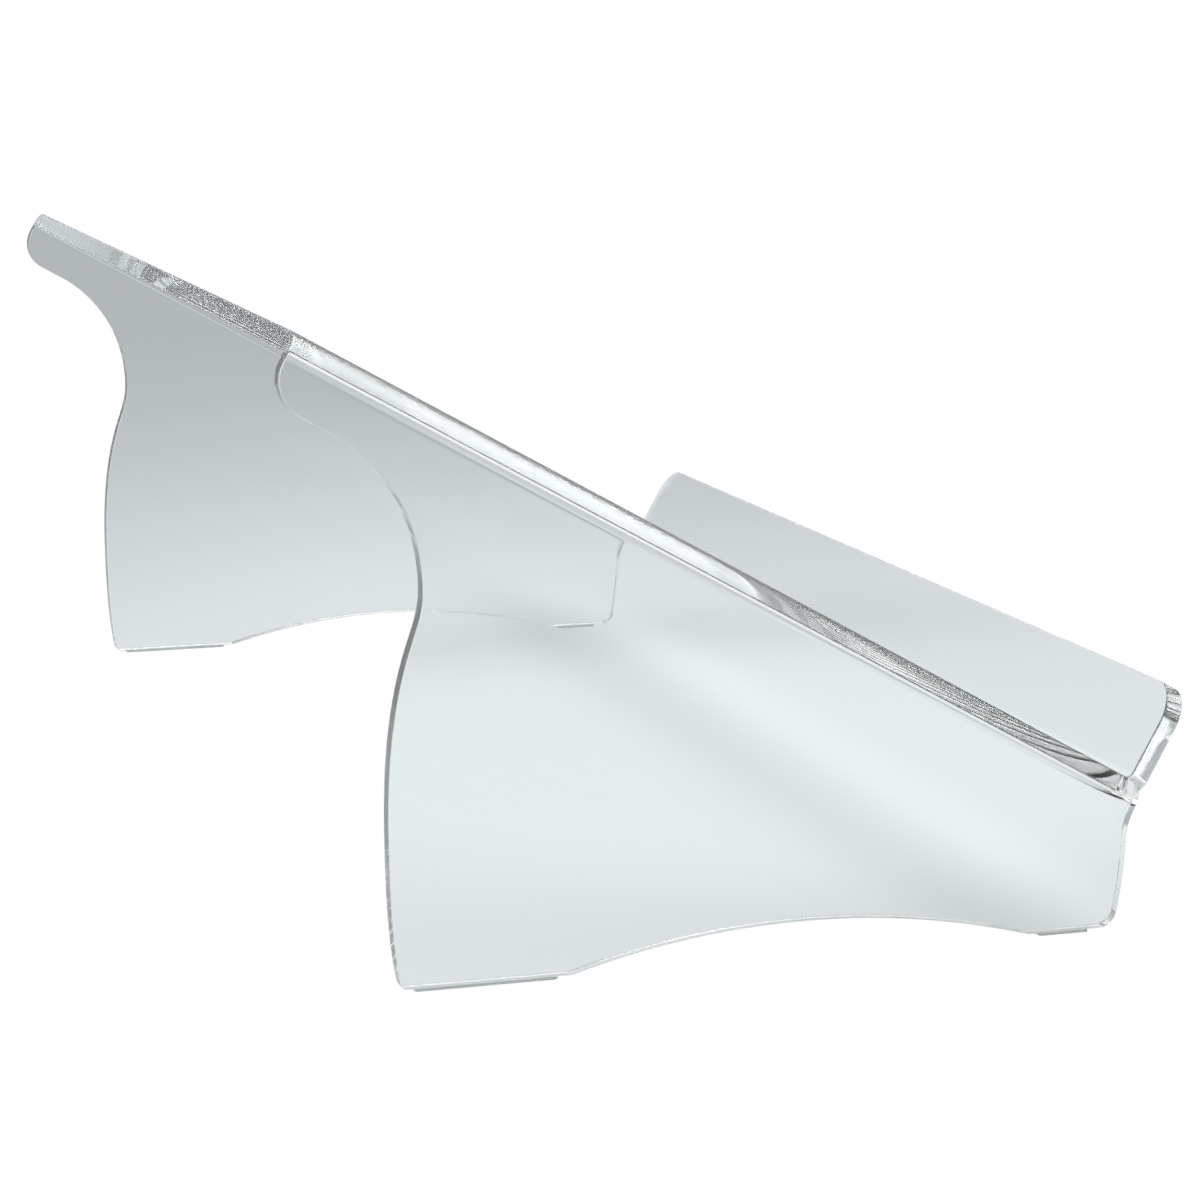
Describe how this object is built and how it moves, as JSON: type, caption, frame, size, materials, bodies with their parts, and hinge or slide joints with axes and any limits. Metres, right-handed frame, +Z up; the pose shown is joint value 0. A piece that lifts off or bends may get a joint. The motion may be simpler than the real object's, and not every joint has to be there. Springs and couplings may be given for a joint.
{
  "type": "desk reading stand",
  "caption": "Clear one-piece desk stand: sloping platform with a front lip, bent down at both sides into arched legs with anti-slip strips under the feet.",
  "frame": {"origin": "bottom centre of the bounding box, on the desk", "axes": "+Z up, +Y to the back where the platform is high, +X to the reader's right along the lip"},
  "size_m": [0.515, 0.2824, 0.1868],
  "materials": {
    "clear_acrylic": "clear, with polished faces and edges",
    "clear_silicone": "clear, soft satin"
  },
  "bodies": {
    "root": {"formed_sheet": "clear_acrylic", "foot_pad_rear_left": "clear_silicone", "foot_pad_rear_right": "clear_silicone", "foot_pad_front_left": "clear_silicone", "foot_pad_front_right": "clear_silicone"}
  },
  "joints": []
}
